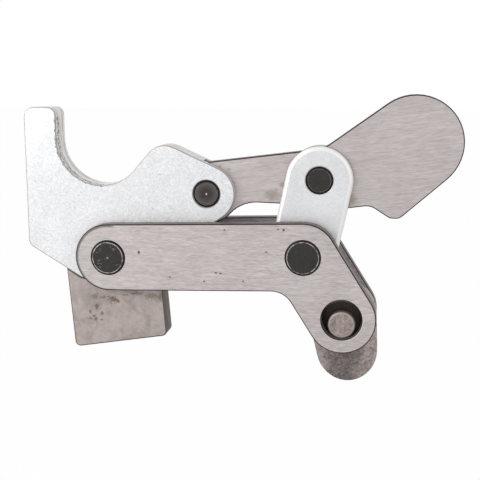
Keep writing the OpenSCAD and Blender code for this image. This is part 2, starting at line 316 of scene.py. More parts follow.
class ClampStage(bpy.types.PropertyGroup):
    """Floor, lamps and camera."""

    floor_gap: bpy.props.FloatProperty(
        name="Floor gap",
        description="Distance of the floor below the clamp at rest, which leaves the arm room to swing",
        default=50 * MM,
        unit="LENGTH",
    )
    key_power: bpy.props.FloatProperty(
        name="Key lamp",
        description="Power of the soft lamp at the upper left",
        default=0.6,
        unit="POWER",
    )
    fill_power: bpy.props.FloatProperty(
        name="Fill lamp",
        description="Power of the soft lamp at the right",
        default=0.6,
        unit="POWER",
    )
    lens: bpy.props.FloatProperty(
        name="Lens",
        description="Focal length of the camera",
        default=68.1,
        unit="CAMERA",
    )
    camera_place: bpy.props.FloatVectorProperty(
        name="Camera place",
        description="Where the camera stands",
        subtype="TRANSLATION",
        unit="LENGTH",
        default=(0.1166, -0.3947, 0.1228),
    )
    camera_pitch: bpy.props.FloatProperty(
        name="Camera pitch",
        description="How far the camera looks down",
        default=math.radians(10.60),
        unit="ROTATION",
    )
    camera_yaw: bpy.props.FloatProperty(
        name="Camera yaw",
        description="How far the camera looks to the left of straight ahead",
        default=math.radians(8.92),
        unit="ROTATION",
    )


class NodeBench:
    """Puts nodes into one node tree and joins them up."""

    def __init__(self, tree):
        self.tree = tree

    def add(self, kind, **settings):
        """A node of this kind with these settings."""
        node = self.tree.nodes.new(kind)
        for name, value in settings.items():
            setattr(node, name, value)
        return node

    def feed(self, socket, value):
        """Joins an output to an input, or sets the input to a plain value."""
        if isinstance(value, bpy.types.NodeSocket):
            self.tree.links.new(value, socket)
        else:
            socket.default_value = value

    def math(self, operation, *values):
        """The result of one calculation with numbers."""
        node = self.add("ShaderNodeMath", operation=operation)
        for socket, value in zip(node.inputs, values):
            self.feed(socket, value)
        return node.outputs[0]

    def vector(self, operation, *vectors):
        """The result of one calculation with vectors, a number where it gives one."""
        node = self.add("ShaderNodeVectorMath", operation=operation)
        for socket, value in zip(node.inputs, vectors):
            self.feed(socket, value)
        number = operation in ("LENGTH", "DISTANCE", "DOT_PRODUCT")
        return node.outputs["Value" if number else "Vector"]

    def join(self, x, y, z):
        """A vector of three values."""
        node = self.add("ShaderNodeCombineXYZ")
        for socket, value in zip(node.inputs, (x, y, z)):
            self.feed(socket, value)
        return node.outputs[0]

    def parts(self, vector):
        """The x, y and z of a vector."""
        node = self.add("ShaderNodeSeparateXYZ")
        self.feed(node.inputs[0], vector)
        return node.outputs

    def ramp(self, value, low, high, to_low=0.0, to_high=1.0, smooth=True):
        """The value carried from one range to another."""
        node = self.add("ShaderNodeMapRange", interpolation_type="SMOOTHSTEP" if smooth else "LINEAR")
        for socket, setting in zip(node.inputs, (value, low, high, to_low, to_high)):
            self.feed(socket, setting)
        return node.outputs[0]

    def mix(self, share, a, b, blend="MIX"):
        """Two colours mixed by a share."""
        node = self.add("ShaderNodeMix", data_type="RGBA", blend_type=blend)
        self.feed(node.inputs[0], share)
        self.feed(node.inputs[6], a)
        self.feed(node.inputs[7], b)
        return node.outputs[2]

    def lay(self, base, mask, colour, strength=1.0):
        """A colour laid over another where a mask shows."""
        if strength != 1.0:
            mask = self.math("MULTIPLY", mask, strength)
        return self.mix(mask, base, colour)

    def noise(self, place, scale, detail, roughness, distortion=0.0):
        """Value of a cloud pattern."""
        node = self.add("ShaderNodeTexNoise")
        self.feed(node.inputs["Vector"], place)
        self.feed(node.inputs["Scale"], scale)
        self.feed(node.inputs["Detail"], detail)
        self.feed(node.inputs["Roughness"], roughness)
        self.feed(node.inputs["Distortion"], distortion)
        return node.outputs[0]

    def group(self, name, **inputs):
        """A shared shader group placed with its own values; returns its outputs."""
        node = self.add("ShaderNodeGroup", node_tree=shared_group(name))
        for label, value in inputs.items():
            self.feed(node.inputs[label], value)
        return node.outputs


def shader_group(name, inputs, outputs):
    """A new shader group, with a bench for it and its inner ends."""
    tree = bpy.data.node_groups.new(name, "ShaderNodeTree")
    for label, kind, default in inputs:
        socket = tree.interface.new_socket(label, in_out="INPUT", socket_type="NodeSocket" + kind)
        if default is not None:
            socket.default_value = default
    for label, kind in outputs:
        tree.interface.new_socket(label, in_out="OUTPUT", socket_type="NodeSocket" + kind)
    bench = NodeBench(tree)
    return bench, bench.add("NodeGroupInput").outputs, bench.add("NodeGroupOutput").inputs


def plate_sides_group():
    """Tells a plate's flat faces, its rounded rim and its cut walls apart by the way they face."""
    bench, given, out = shader_group(
        "Plate sides",
        [("Begin", "Float", 0.9995), ("Full", "Float", 0.985)],
        [("Rim", "Float"), ("Wall", "Float")],
    )
    normal = bench.parts(bench.add("ShaderNodeTexCoord").outputs["Normal"])
    flat = bench.math("ABSOLUTE", normal[1])
    wall = bench.ramp(flat, 0.25, 0.08)
    bench.feed(out["Wall"], wall)
    slope = bench.ramp(flat, given["Begin"], given["Full"])
    bench.feed(out["Rim"], bench.math("MULTIPLY", slope, bench.math("SUBTRACT", 1.0, wall)))
    return bench.tree


def shade_about_one(bench, pattern, low, high, depth):
    """A shade that a pattern lowers and raises by a depth."""
    dark = bench.math("SUBTRACT", 1.0, depth)
    light = bench.math("ADD", 1.0, depth)
    return bench.ramp(pattern, low, high, dark, light, smooth=False)


def grain_group():
    """Fine streaks left by grinding or sawing, along a direction in the plane of the plates."""
    bench, given, out = shader_group(
        "Grain",
        [
            ("Place", "Vector", None),
            ("Angle", "Float", 0.0),
            ("Length", "Float", 6.0),
            ("Width", "Float", 0.25),
            ("Depth", "Float", 0.05),
        ],
        [("Shade", "Float"), ("Height", "Float")],
    )
    turn = bench.add("ShaderNodeVectorRotate", rotation_type="Y_AXIS")
    bench.feed(turn.inputs["Vector"], given["Place"])
    bench.feed(turn.inputs["Angle"], given["Angle"])
    along = bench.math("DIVIDE", 1.0, given["Length"])
    across = bench.math("DIVIDE", 1.0, given["Width"])
    stretched = bench.vector("MULTIPLY", turn.outputs[0], bench.join(along, across, across))
    fine = bench.noise(stretched, 1000.0, 4.0, 0.7)
    broad = bench.noise(stretched, 310.0, 3.0, 0.6)
    both = bench.math("ADD", bench.math("MULTIPLY", fine, 0.7), bench.math("MULTIPLY", broad, 0.3))
    bench.feed(out["Shade"], shade_about_one(bench, both, 0.32, 0.68, given["Depth"]))
    bench.feed(out["Height"], both)
    return bench.tree


def blotch_group():
    """Soft cloudy patches of a size in millimetres."""
    bench, given, out = shader_group(
        "Blotches",
        [("Place", "Vector", None), ("Size", "Float", 8.0), ("From", "Float", 0.5), ("To", "Float", 0.7)],
        [("Mask", "Float")],
    )
    scale = bench.math("DIVIDE", 1 / MM, given["Size"])
    cloud = bench.noise(given["Place"], scale, 5.0, 0.6, 0.4)
    bench.feed(out["Mask"], bench.ramp(cloud, given["From"], given["To"]))
    return bench.tree


def spot_group():
    """One ragged spot on the front or rear of a plate, at a place given in millimetres."""
    bench, given, out = shader_group(
        "Spot",
        [
            ("Place", "Vector", None),
            ("Centre", "Vector", None),
            ("Radius", "Float", 1.0),
            ("Ragged", "Float", 0.6),
            ("Stretch", "Float", 1.0),
        ],
        [("Mask", "Float")],
    )
    millimetres = bench.vector("MULTIPLY", given["Place"], (1 / MM, 0.0, 1 / MM))
    away = bench.vector("SUBTRACT", millimetres, given["Centre"])
    squeezed = bench.vector("MULTIPLY", away, bench.join(1.0, 1.0, given["Stretch"]))
    share = bench.math("DIVIDE", bench.vector("LENGTH", squeezed), given["Radius"])
    speckle = bench.noise(given["Place"], 900.0, 5.0, 0.85)
    uneven = bench.math("MULTIPLY", bench.math("SUBTRACT", speckle, 0.5), given["Ragged"])
    pushed = bench.math("ADD", share, bench.math("MULTIPLY", uneven, 4.0))
    bench.feed(out["Mask"], bench.ramp(pushed, 1.0, 0.35))
    return bench.tree


def mottle_group():
    """Faint mottling of small cells and clouds, as on bright zinc plating; size in millimetres."""
    bench, given, out = shader_group(
        "Mottle",
        [("Place", "Vector", None), ("Size", "Float", 0.6), ("Depth", "Float", 0.04)],
        [("Shade", "Float"), ("Height", "Float")],
    )
    scale = bench.math("DIVIDE", 1 / MM, given["Size"])
    cells = bench.add("ShaderNodeTexVoronoi")
    bench.feed(cells.inputs["Vector"], given["Place"])
    bench.feed(cells.inputs["Scale"], scale)
    tone = bench.parts(cells.outputs["Color"])[0]
    cloud = bench.noise(given["Place"], bench.math("MULTIPLY", scale, 0.7), 4.0, 0.7)
    both = bench.math("ADD", bench.math("MULTIPLY", tone, 0.35), bench.math("MULTIPLY", cloud, 0.65))
    bench.feed(out["Shade"], shade_about_one(bench, both, PATTERN_LOW, PATTERN_HIGH, given["Depth"]))
    bench.feed(out["Height"], cloud)
    return bench.tree


def cut_wall_group():
    """Streaks along a cut edge, and short dark flecks that are strongest at the front."""
    bench, given, out = shader_group(
        "Cut wall",
        [("Place", "Vector", None), ("Flecks", "Float", 0.0)],
        [("Shade", "Float"), ("Flecks", "Float")],
    )
    long_way = bench.vector("MULTIPLY", given["Place"], (0.10, 1.5, 0.10))
    streaks = bench.noise(long_way, 800.0, 4.0, 0.65)
    bench.feed(out["Shade"], bench.ramp(streaks, 0.34, 0.62, 0.58, 1.15, smooth=False))
    front = bench.ramp(bench.parts(given["Place"])[1], -0.4 * MM, -2.6 * MM, 0.15, 1.0)
    short_way = bench.vector("MULTIPLY", given["Place"], (0.55, 1.0, 0.55))
    specks = bench.noise(short_way, 1100.0, 4.0, 0.75)
    mask = bench.math("MULTIPLY", bench.ramp(specks, 0.52, 0.56), given["Flecks"])
    bench.feed(out["Flecks"], bench.math("MULTIPLY", mask, front))
    return bench.tree


SHARED_GROUPS = {
    "Plate sides": plate_sides_group,
    "Grain": grain_group,
    "Blotches": blotch_group,
    "Spot": spot_group,
    "Mottle": mottle_group,
    "Cut wall": cut_wall_group,
}


def shared_group(name):
    """A shared shader group, made when it is first asked for."""
    return bpy.data.node_groups.get(name) or SHARED_GROUPS[name]()


def steel_material(name, metallic):
    """A new metal, with a bench for its nodes, its shader and the place on the piece."""
    material = bpy.data.materials.new(name)
    material.use_nodes = True
    bench = NodeBench(material.node_tree)
    shader = material.node_tree.nodes["Principled BSDF"]
    shader.inputs["Metallic"].default_value = metallic
    place = bench.add("ShaderNodeTexCoord").outputs["Object"]
    return material, bench, shader, place


def times(bench, colour, *shades):
    """A plain colour darkened or lightened by some shades."""
    shown = tuple(colour)
    for shade in shades:
        shown = bench.mix(1.0, shown, bench.join(shade, shade, shade), blend="MULTIPLY")
    return shown


def blotches(bench, place, size, low, high):
    """Mask of soft cloudy patches of a size in millimetres, which rises between two levels."""
    return bench.group("Blotches", Place=place, Size=size, From=low, To=high)["Mask"]


def clouds(bench, place, size, low, high, light, dark):
    """A shade from light to dark by soft cloudy patches."""
    return bench.ramp(blotches(bench, place, size, low, high), 0.0, 1.0, light, dark)


def mottled(bench, place, colour, size, depth, *shades):
    """A colour with some shades and fine mottling of a size in millimetres; returns the height too."""
    mottle = bench.group("Mottle", Place=place, Size=size, Depth=depth)
    return times(bench, colour, mottle["Shade"], *shades), mottle["Height"]


def give_finish(bench, shader, colour, height, roughness, relief=None, rougher=None):
    """Gives the shader a colour, and by a height a range of roughness, and relief of a depth and strength."""
    bench.feed(shader.inputs["Base Color"], colour)
    rough = bench.ramp(height, PATTERN_LOW, PATTERN_HIGH, *roughness)
    if rougher is not None:
        rough = bench.math("ADD", rough, rougher)
    bench.feed(shader.inputs["Roughness"], rough)
    if relief:
        node = bench.add("ShaderNodeBump")
        bench.feed(node.inputs["Distance"], relief[0] * MM)
        bench.feed(node.inputs["Strength"], relief[1])
        bench.feed(node.inputs["Height"], height)
        bench.feed(shader.inputs["Normal"], node.outputs[0])


def plate_colour(bench, face, rim, wall):
    """A plate's colour from those of its flat faces, its rounded rim and its cut walls; the rim colours given
    to it are painted shade, and on the links a painted highlight.
    """
    sides = bench.group("Plate sides")
    return bench.mix(sides["Wall"], bench.mix(sides["Rim"], face, rim), wall)


def spotted(bench, place, base, marks, colour, strength=1.0):
    """A colour with ragged spots; a mark is x, z and radius in millimetres, raggedness and stretch."""
    if not marks:
        return base
    strongest = 0.0
    for x, z, radius, ragged, stretch in marks:
        spot = bench.group(
            "Spot", Place=place, Centre=(x, 0.0, z), Radius=radius, Ragged=ragged, Stretch=stretch
        )
        strongest = bench.math("MAXIMUM", spot["Mask"], strongest)
    return bench.lay(base, strongest, colour, strength)


def distance_from(bench, place, centre):
    """Distance from a line across the clamp, given by its place along the clamp and up; in metres."""
    flat = bench.vector("MULTIPLY", place, (1.0, 0.0, 1.0))
    return bench.vector("DISTANCE", flat, (centre[0], 0.0, centre[1]))


def round_end(bench, place, centre, radius, limit):
    """Mask of what lies outside a circle and left of a limit, where the painted shade at a plate's round end
    goes; in metres.
    """
    outside = bench.ramp(distance_from(bench, place, centre), radius - 0.1 * MM, radius + 0.15 * MM)
    left = bench.ramp(bench.parts(place)[0], limit + 3 * MM, limit)
    return bench.math("MULTIPLY", outside, left)


def lip_highlight(bench, place, centre, radius):
    """Mask of a painted highlight on the thin lip round the lower right of a hole; in metres."""
    ring = bench.ramp(distance_from(bench, place, centre), radius + 0.75 * MM, radius + 0.4 * MM)
    away = bench.vector("SUBTRACT", place, (centre[0], 0.0, centre[1]))
    toward = bench.vector("DOT_PRODUCT", away, (0.8, 0.0, -0.6))
    return bench.math("MULTIPLY", ring, bench.ramp(toward, 0.35 * radius, 0.85 * radius))


def notch_dirt(bench, place, centre, radius, width):
    """Masks of the dirt left and below in an open notch, on its wall and on its edge; in metres."""
    x, _, z = bench.parts(place)
    low = bench.math("MINIMUM", z, centre[1])
    away = bench.vector("DISTANCE", bench.join(x, 0.0, low), (centre[0], 0.0, centre[1]))
    left = bench.ramp(x, centre[0] + 7.3 * MM, centre[0] - 1.7 * MM)
    below_top = bench.ramp(z, centre[1] + 13 * MM, centre[1] + 9 * MM)
    side = bench.math("MULTIPLY", left, below_top)
    near_wall = bench.ramp(away, radius + 1.8 * MM, radius + 0.8 * MM)
    cloud = bench.noise(bench.vector("MULTIPLY", place, (1.0, 0.0, 1.0)), 620.0, 4.0, 0.7)
    reach = bench.ramp(cloud, 0.40, 0.63, -0.2 * MM, width, smooth=False)
    inside = bench.math("SUBTRACT", bench.math("ADD", reach, radius), away)
    near_edge = bench.ramp(inside, 0.0, 0.15 * MM)
    return bench.math("MULTIPLY", near_wall, side), bench.math("MULTIPLY", near_edge, side)


def ground_steel(name, colour, angle, depth, nicks=(), smudges=(), end_shade=None, hole=None):
    """Ground steel: pale faces with fine streaks of some depth, a rim darkened with painted shade, and darker
    cut walls.
    """
    material, bench, shader, place = steel_material(name, 0.6)
    grain = bench.group("Grain", Place=place, Angle=angle, Length=3.2, Width=0.27, Depth=depth)
    coarse = bench.group("Grain", Place=place, Angle=angle, Length=14.0, Width=1.3, Depth=0.07)
    cloud = clouds(bench, place, 30.0, 0.35, 0.75, 1.03, 0.96)
    face = times(bench, colour, grain["Shade"], coarse["Shade"], cloud)
    # Painted shade: a grey crescent at the plate's rounded end
    if end_shade:
        face = bench.lay(face, round_end(bench, place, *end_shade), GROUND_END_SHADE)
    # Painted highlight on the lower right lip of the hole
    if hole:
        face = bench.lay(face, lip_highlight(bench, place, *hole), GROUND_LIP_HIGHLIGHT, 0.8)
    wall = times(bench, GROUND_WALL, bench.group("Cut wall", Place=place)["Shade"])
    shown = plate_colour(bench, face, GROUND_RIM_SHADE, wall)
    shown = spotted(bench, place, shown, smudges, GROUND_SMUDGE, 0.5)
    shown = spotted(bench, place, shown, nicks, GROUND_NICK)
    rougher_wall = bench.math("MULTIPLY", bench.group("Plate sides")["Wall"], 0.15)
    give_finish(bench, shader, shown, grain["Height"], (0.36, 0.5), (0.02, 0.5), rougher_wall)
    return material


def zinc_plate(name, colour, rim, wall, frost, notch=None, nicks=()):
    """Bright zinc plating: frosted pale faces, a thin rim and streaky walls in given colours (painted shade
    on the hook's rim, a painted highlight on the links' rims and painted shade on their walls), and dirt
    round a notch.
    """
    material, bench, shader, place = steel_material(name, 0.35)
    cloud = clouds(bench, place, 22.0, 0.35, 0.7, 1.02, 0.95)
    face, height = mottled(bench, place, colour, 0.55, frost, cloud)
    face = bench.lay(face, blotches(bench, place, 5.0, 0.6, 0.72), ZINC_STAIN, 0.35)
    face = spotted(bench, place, face, nicks, ZINC_NICK, 0.6)
    if notch:
        on_wall, on_edge = notch_dirt(bench, place, *notch)
        cut = bench.group("Cut wall", Place=place, Flecks=on_wall)
        wall = bench.lay(times(bench, wall, cut["Shade"]), cut["Flecks"], NOTCH_FLECK)
        face = bench.lay(face, on_edge, NOTCH_EDGE)
    else:
        wall = times(bench, wall, bench.group("Cut wall", Place=place)["Shade"])
    give_finish(bench, shader, plate_colour(bench, face, rim, wall), height, (0.34, 0.5), (0.03, 0.5))
    return material


def sawn_steel(name, colour, rust, rust_marks=(), smudges=(), hairs=()):
    """Raw sawn bar: upright grain, darker walls, a rim darkened with painted shade, stains, dark hairs and
    small rust spots.
    """
    material, bench, shader, place = steel_material(name, 0.6)
    upright = math.radians(88)
    grain = bench.group("Grain", Place=place, Angle=upright, Length=7.0, Width=0.6, Depth=0.07)
    mottle = bench.group("Mottle", Place=place, Size=1.1, Depth=0.07)
    cloud = clouds(bench, place, 7.0, 0.35, 0.7, 1.1, 0.85)
    face = times(bench, colour, grain["Shade"], mottle["Shade"], cloud)
    wall = times(bench, SAWN_WALL, bench.group("Cut wall", Place=place)["Shade"])
    shown = plate_colour(bench, face, SAWN_RIM_SHADE, wall)
    shown = spotted(bench, place, shown, smudges, SAWN_SMUDGE, 0.5)
    shown = spotted(bench, place, shown, hairs, SAWN_HAIR, 0.7)
    shown = spotted(bench, place, shown, rust_marks, tuple(rust), 0.8)
    give_finish(bench, shader, shown, grain["Height"], (0.45, 0.65), (0.04, 0.6))
    return material


def band_of(bench):
    """The tag that the turned pin tree leaves on each face."""
    return bench.add("ShaderNodeAttribute", attribute_name="band").outputs["Fac"]


def raw_pin_steel(name, colour):
    """Raw turned steel: a mottled end face with a paler rim."""
    material, bench, shader, place = steel_material(name, 0.6)
    cloud = clouds(bench, place, 3.5, 0.35, 0.7, 1.12, 0.86)
    face, height = mottled(bench, place, colour, 0.9, 0.3, cloud)
    shown = bench.lay(face, bench.ramp(band_of(bench), 0.1, 0.6), RAW_PIN_RIM)
    give_finish(bench, shader, shown, height, (0.4, 0.6), (0.05, 0.6))
    return material


def black_pin_steel(name, colour, scuffed, centre=None):
    """Blackened steel, bright on the land and the centre mark with wear and a painted highlight, and paler
    away from a centre.
    """
    material, bench, shader, place = steel_material(name, 0.35)
    band = band_of(bench)
    cloud = clouds(bench, place, 5.0, 0.4, 0.75, 1.1, 0.8)
    face, height = mottled(bench, place, colour, 0.45, 0.18, cloud)
    face = bench.lay(face, blotches(bench, place, 1.7, 0.57, 0.68), PIN_SCUFF, scuffed)
    if centre:
        away = distance_from(bench, place, (centre.x, centre.z))
        face = bench.lay(face, bench.ramp(away, 1.5 * MM, 5.2 * MM, 0.1, 0.75), PIN_RUBBED)
    # Wear and painted highlight on the land and the centre mark
    bright = bench.mix(blotches(bench, place, 2.6, 0.38, 0.56), LAND_DARK, LAND_WEAR_AND_HIGHLIGHT)
    shown = bench.lay(face, bench.ramp(band, 0.6, 0.95), bright)
    shown = bench.lay(shown, bench.math("COMPARE", band, BARREL, 0.1), PIN_CHAMFER)
    give_finish(bench, shader, shown, height, (0.38, 0.55), (0.03, 0.5))
    return material


def nose_steel(name, colour, middle, pin):
    """Rough dark steel with painted shade, darker down its middle and lighter on its flanks, pale flecks, and
    painted shadow black round its pin.
    """
    material, bench, shader, place = steel_material(name, 0.5)
    aside = bench.math("ABSOLUTE", bench.math("SUBTRACT", bench.parts(place)[0], middle))
    # Painted shade: darker down the nose's middle and lighter on its flanks
    crown_shade = bench.ramp(aside, 2 * MM, 13 * MM, 0.72, 1.6)
    cloud = clouds(bench, place, 4.0, 0.36, 0.66, 1.12, 0.84)
    face, height = mottled(bench, place, colour, 0.8, 0.34, crown_shade, cloud)
    face = bench.lay(face, blotches(bench, place, 1.8, 0.58, 0.66), NOSE_BROWN, 0.45)
    face = bench.lay(face, blotches(bench, place, 1.0, 0.61, 0.68), NOSE_FLECK, 0.45)
    # Painted shadow round the pin, where the nose is seen through the foot hole
    away = distance_from(bench, place, (pin.x, pin.z))
    face = bench.lay(face, bench.ramp(away, 10.0 * MM, 9.4 * MM), NOSE_HOLE_SHADE)
    give_finish(bench, shader, face, height, (0.35, 0.6), (0.2, 0.8))
    return material


def bearing_bronze(name, colour):
    """Plain bearing bronze, turned and slightly stained."""
    material, bench, shader, place = steel_material(name, 0.85)
    cloud = clouds(bench, place, 4.0, 0.35, 0.7, 1.1, 0.8)
    face, height = mottled(bench, place, colour, 0.6, 0.1, cloud)
    give_finish(bench, shader, face, height, (0.34, 0.5))
    return material


def smooth_by_angle(mesh, degrees):
    """Smooth shading that breaks at front and rear faces and where faces meet at more than an angle."""
    work = bmesh.new()
    work.from_mesh(mesh)
    for face in work.faces:
        face.smooth = abs(face.normal.y) < SHADED_FLAT
    for edge in work.edges:
        if len(edge.link_faces) == 2:
            edge.smooth = edge.calc_face_angle(0.0) < math.radians(degrees)
    work.to_mesh(mesh)
    work.free()


def stand_in(node, mesh, smooth_angle):
    """An object with this mesh that stands for a CAD node and rides on its body."""
    piece = bpy.data.objects.new(node + "_dressed", mesh)
    bpy.context.scene.collection.objects.link(piece)
    smooth_by_angle(mesh, smooth_angle)
    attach(piece, frame["nodes"][node]["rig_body"])
    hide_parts(node)


def is_outline_edge(edge):
    """Tells whether an edge lies between a plate's flat face and one of its cut walls."""
    if len(edge.link_faces) != 2:
        return False
    flats = sorted(abs(face.normal.y) for face in edge.link_faces)
    return flats[0] < CUT_WALL and flats[1] > FLAT_FACE


def width_of(edges):
    """Width of a chain of edges along the clamp."""
    across = [vertex.co.x for edge in edges for vertex in edge.verts]
    return max(across) - min(across)


def outer_outline(work):
    """The edges of a plate's outer outline on both faces, without those of its holes."""
    left = {edge for edge in work.edges if is_outline_edge(edge)}
    chains = []
    while left:
        waiting = [left.pop()]
        chain = []
        while waiting:
            edge = waiting.pop()
            chain.append(edge)
            beside = {other for vertex in edge.verts for other in vertex.link_edges} & left
            left -= beside
            waiting.extend(beside)
        chains.append(chain)
    widest = max(width_of(chain) for chain in chains)
    outer = [edge for chain in chains if width_of(chain) > OUTER_SHARE * widest for edge in chain]
    work.edges.index_update()
    return sorted(outer, key=lambda edge: edge.index)


def dressed_plate(node, material, rim=0.0, steps=1):
    """A copy of a CAD plate that stands for it, with a rounded outer outline where a rim is given."""
    mesh = frame["nodes"][node].data.copy()
    mesh.materials.clear()
    mesh.materials.append(material)
    work = bmesh.new()
    work.from_mesh(mesh)
    bmesh.ops.remove_doubles(work, verts=work.verts, dist=WELD_DISTANCE)
    bmesh.ops.dissolve_limit(work, angle_limit=math.radians(0.3), verts=work.verts, edges=work.edges)
    if rim > 0:
        bmesh.ops.bevel(
            work,
            geom=outer_outline(work),
            offset=rim,
            offset_type="OFFSET",
            segments=steps,
            profile=RIM_PROFILE,
            affect="EDGES",
            clamp_overlap=False,
        )
    for face in work.faces:
        face.material_index = 0
    work.to_mesh(mesh)
    work.free()
    stand_in(node, mesh, PLATE_SMOOTH)


def turned_band(bench, sides, low, high, finish):
    """One band of a turned pin between two radii and heights, tagged with its finish."""
    cone = bench.add("GeometryNodeMeshCone", fill_type="NONE")
    bench.feed(cone.inputs["Vertices"], sides)
    bench.feed(cone.inputs["Radius Bottom"], low[0])
    bench.feed(cone.inputs["Radius Top"], high[0])
    bench.feed(cone.inputs["Depth"], bench.math("SUBTRACT", high[1], low[1]))
    lift = bench.add("GeometryNodeTransform")
    bench.feed(lift.inputs["Geometry"], cone.outputs[0])
    bench.feed(lift.inputs["Translation"], bench.join(0.0, 0.0, low[1]))
    tag = bench.add("GeometryNodeStoreNamedAttribute", data_type="FLOAT", domain="FACE")
    bench.feed(tag.inputs["Geometry"], lift.outputs[0])
    bench.feed(tag.inputs["Name"], "band")
    bench.feed(tag.inputs["Value"], finish)
    return tag.outputs[0]


def turned_pin_tree():
    """Geometry Nodes tree of a turned pin: barrel, chamfers, bright lands, end faces and centre marks."""
    tree = bpy.data.node_groups.new("Turned pin", "GeometryNodeTree")
    for label, kind in (
        ("Geometry", "Geometry"),
        ("Radius", "Float"),
        ("Half length", "Float"),
        ("Chamfer", "Float"),
        ("Land", "Float"),
        ("Mark", "Float"),
        ("Sides", "Int"),
        ("Centre", "Vector"),
        ("Material", "Material"),
    ):
        tree.interface.new_socket(label, in_out="INPUT", socket_type="NodeSocket" + kind)
    tree.interface.new_socket("Geometry", in_out="OUTPUT", socket_type="NodeSocketGeometry")
    bench = NodeBench(tree)
    given = bench.add("NodeGroupInput").outputs
    radius = given["Radius"]
    top = given["Half length"]
    mark = given["Mark"]
    chamfer_low = bench.math("SUBTRACT", top, given["Chamfer"])
    land_low = bench.math("SUBTRACT", top, bench.math("MULTIPLY", given["Land"], LAND_RISE))
    land_radius = bench.math("SUBTRACT", radius, given["Chamfer"])
    face_radius = bench.math("SUBTRACT", land_radius, given["Land"])
    mark_low = bench.math("SUBTRACT", top, bench.math("MULTIPLY", mark, MARK_DEPTH))
    half = bench.add("GeometryNodeJoinGeometry")
    for low, high, finish in (
        ((radius, 0.0), (radius, chamfer_low), BARREL),
        ((radius, chamfer_low), (land_radius, land_low), BARREL),
        ((land_radius, land_low), (face_radius, top), LAND_AND_MARK),
        ((face_radius, top), (mark, top), END_FACE),
        ((mark, top), (0.0, mark_low), LAND_AND_MARK),
    ):
        bench.feed(half.inputs[0], turned_band(bench, given["Sides"], low, high, finish))
    other = bench.add("GeometryNodeTransform")
    bench.feed(other.inputs["Geometry"], half.outputs[0])
    bench.feed(other.inputs["Scale"], (1, 1, -1))
    whole = bench.add("GeometryNodeJoinGeometry")
    bench.feed(whole.inputs[0], half.outputs[0])
    bench.feed(whole.inputs[0], other.outputs[0])
    weld = bench.add("GeometryNodeMergeByDistance")
    bench.feed(weld.inputs["Geometry"], whole.outputs[0])
    bench.feed(weld.inputs["Distance"], WELD_DISTANCE)
    seat = bench.add("GeometryNodeTransform")
    bench.feed(seat.inputs["Geometry"], weld.outputs[0])
    bench.feed(seat.inputs["Translation"], given["Centre"])
    bench.feed(seat.inputs["Rotation"], (math.radians(90), 0, 0))
    realize = bench.add("GeometryNodeRealizeInstances")
    bench.feed(realize.inputs[0], seat.outputs[0])
    paint = bench.add("GeometryNodeSetMaterial")
    bench.feed(paint.inputs["Geometry"], realize.outputs[0])
    bench.feed(paint.inputs["Material"], given["Material"])
    bench.feed(bench.add("NodeGroupOutput").inputs["Geometry"], paint.outputs[0])
    return tree


def turned_pin(tree, node, chamfer, land, mark, sides, material):
    """A plain mesh made by the turned pin tree, which stands for a CAD pin."""
    carrier = bpy.data.objects.new("pin_carrier", bpy.data.meshes.new("pin_carrier"))
    bpy.context.scene.collection.objects.link(carrier)
    modifier = carrier.modifiers.new("Turned pin", "NODES")
    modifier.node_group = tree
    low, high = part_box(node)
    settings = {
        "Radius": (high.x - low.x) / 2,
        "Half length": (high.y - low.y) / 2,
        "Chamfer": chamfer,
        "Land": land,
        "Mark": mark,
        "Sides": sides,
        "Centre": centre_of(node),
        "Material": material,
    }
    for item in tree.interface.items_tree:
        if item.in_out == "INPUT" and item.name in settings:
            modifier[item.identifier] = settings[item.name]
    bpy.context.view_layer.update()
    evaluated = carrier.evaluated_get(bpy.context.evaluated_depsgraph_get())
    mesh = bpy.data.meshes.new_from_object(evaluated)
    bpy.data.objects.remove(carrier)
    work = bmesh.new()
    work.from_mesh(mesh)
    bmesh.ops.remove_doubles(work, verts=work.verts, dist=WELD_DISTANCE)
    bmesh.ops.recalc_face_normals(work, faces=work.faces)
    work.to_mesh(mesh)
    work.free()
    stand_in(node, mesh, PIN_SMOOTH)


class CLAMP_OT_hook(bpy.types.Operator):
    """Dresses the hook: two zinc-plated cheeks with a core between them."""

    bl_idname = "clamp.hook"
    bl_label = "Hook"

    def execute(self, context):
        sizes = context.scene.clamp_plates
        colours = context.scene.clamp_colours
        # A mark, here and below: x, z and radius in millimetres, raggedness and stretch
        nicks = (
            (19.9, 77.5, 0.55, 0.3, 1.6),
            (22.1, 79.1, 0.4, 0.3, 2.0),
            (-38.1, 73.4, 0.5, 0.2, 1.0),
            (-19.4, 59.4, 0.45, 0.3, 1.5),
            (16.5, 62.1, 0.45, 0.3, 1.0),
            (23.2, 67.5, 0.4, 0.3, 1.3),
            (-31.7, 44.9, 0.4, 0.2, 1.0),
        )
        notch = (NOTCH_CENTRE, NOTCH_RADIUS, DIRT_WIDTH)
        # The hook's rim colour is painted shade on its rounded rims
        zinc = zinc_plate("Zinc plate", colours.zinc, HOOK_RIM_SHADE, HOOK_WALL, 0.12, notch, nicks)
        for node in ("hook_cheek_front", "hook_cheek_rear"):
            dressed_plate(node, zinc, sizes.zinc_rim, sizes.rim_steps)
        dressed_plate("hook_core", zinc)
        return {"FINISHED"}


